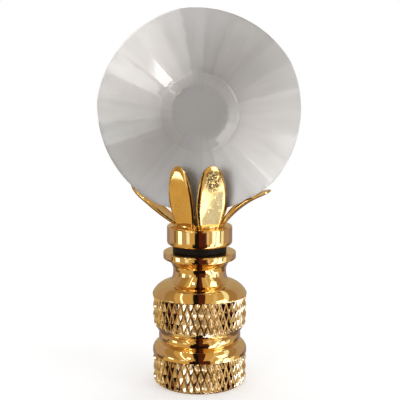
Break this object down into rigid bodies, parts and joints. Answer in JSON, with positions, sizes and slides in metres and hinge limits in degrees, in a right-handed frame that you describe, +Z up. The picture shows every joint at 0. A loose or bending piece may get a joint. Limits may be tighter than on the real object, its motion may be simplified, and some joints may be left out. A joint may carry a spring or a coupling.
{
  "type": "crystal lamp finial",
  "caption": "Cut-crystal disc standing on edge in a petalled brass cup, on a turned and diamond-knurled brass base with a threaded hole underneath.",
  "frame": {"origin": "centre of the base's bottom face, on the thread axis", "axes": "+Z up the thread axis towards the crystal, -Y towards the crystal's front face, +X to the right of a viewer who faces it"},
  "size_m": [0.0265, 0.0128, 0.05],
  "materials": {
    "crystal": "polished, faintly smoky cut glass",
    "cast_brass": "polished cast brass",
    "turned_brass": "mirror-polished turned brass",
    "black_washer": "matt black",
    "screw_steel": "plain zinc-plated steel"
  },
  "bodies": {
    "root": {"crystal_disc": "crystal", "petal_cup": "cast_brass", "collar": "turned_brass", "washer": "black_washer", "knurled_base": "turned_brass", "fixing_screw": "screw_steel"}
  },
  "joints": []
}
